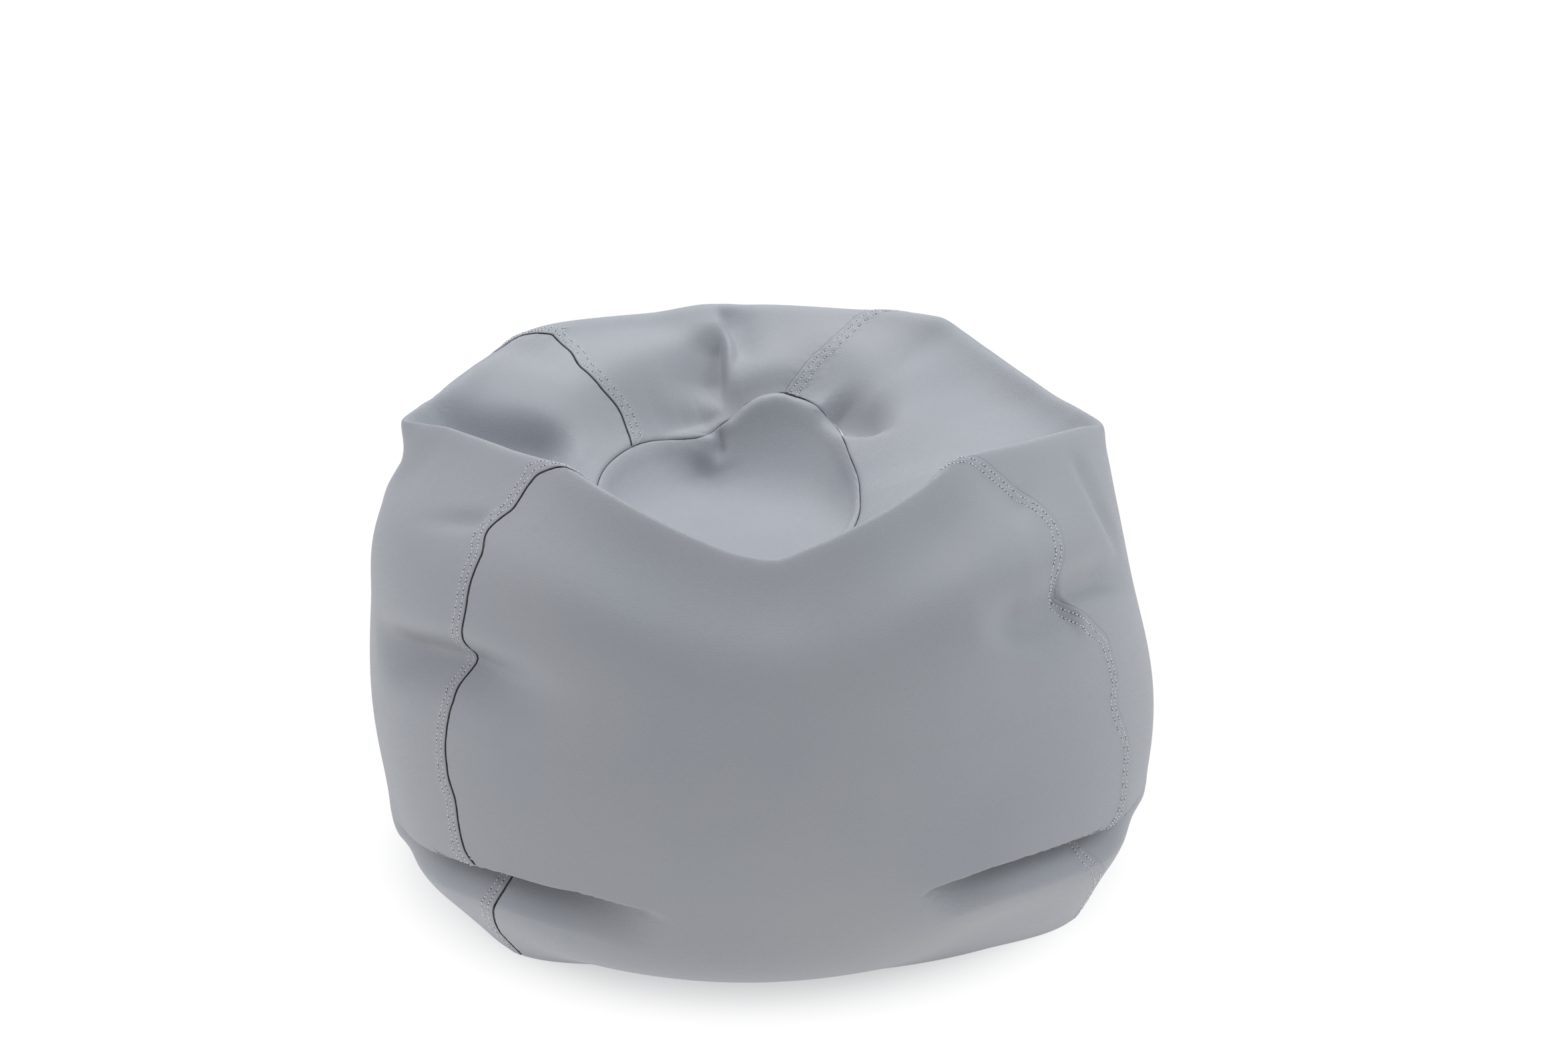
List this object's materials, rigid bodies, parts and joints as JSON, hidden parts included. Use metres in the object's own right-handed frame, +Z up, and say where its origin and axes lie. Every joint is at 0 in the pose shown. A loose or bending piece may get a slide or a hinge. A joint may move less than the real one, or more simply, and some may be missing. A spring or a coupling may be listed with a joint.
{
  "type": "bean bag chair",
  "caption": "Round slouching bean bag chair in grey imitation leather, with a sunken cap as its seat, lapped seams and a flat zipped base.",
  "frame": {"origin": "middle of the bag's outline in plan, on the floor", "axes": "+Z up, the front of the seat faces -Y, +X to the right seen from the front"},
  "size_m": [0.8757, 0.835, 0.5514],
  "materials": {
    "cover_vinyl": "fine pebble grain, satin",
    "liner_cloth": "plain weave, matt",
    "beads": "expanded polystyrene beads",
    "zip_tape": "woven tape, matt",
    "zip_coil": "moulded nylon coil",
    "zip_metal": "enamelled zinc"
  },
  "bodies": {
    "bag": {"cover_top_cap": "cover_vinyl", "cover_front_panel": "cover_vinyl", "cover_right_panel": "cover_vinyl", "cover_back_panel": "cover_vinyl", "cover_left_panel": "cover_vinyl", "cover_base_front": "cover_vinyl", "cover_base_rear": "cover_vinyl", "liner_top_cap": "liner_cloth", "liner_front_panel": "liner_cloth", "liner_right_panel": "liner_cloth", "liner_back_panel": "liner_cloth", "liner_left_panel": "liner_cloth", "liner_base_front": "liner_cloth", "liner_base_rear": "liner_cloth", "bead_filling": "beads", "cover_zip_tape_front": "zip_tape", "cover_zip_tape_rear": "zip_tape", "cover_zip_coil_front": "zip_coil", "cover_zip_coil_rear": "zip_coil", "cover_zip_stop_closed": "zip_metal", "cover_zip_stop_open": "zip_metal", "liner_zip_tape_front": "zip_tape", "liner_zip_tape_rear": "zip_tape", "liner_zip_coil_front": "zip_coil", "liner_zip_coil_rear": "zip_coil", "liner_zip_stop_closed": "zip_metal", "liner_zip_stop_open": "zip_metal"},
    "cover_slider": {"cover_zip_slider": "zip_metal"},
    "liner_slider": {"liner_zip_slider": "zip_metal"}
  },
  "joints": [
    {"name": "cover_slider_slide", "type": "slide", "parent": "bag", "child": "cover_slider", "axis": [-1, 0, 0], "range_m": [0, 0.546]},
    {"name": "liner_slider_slide", "type": "slide", "parent": "bag", "child": "liner_slider", "axis": [-1, 0, 0], "range_m": [0, 0.546]}
  ]
}
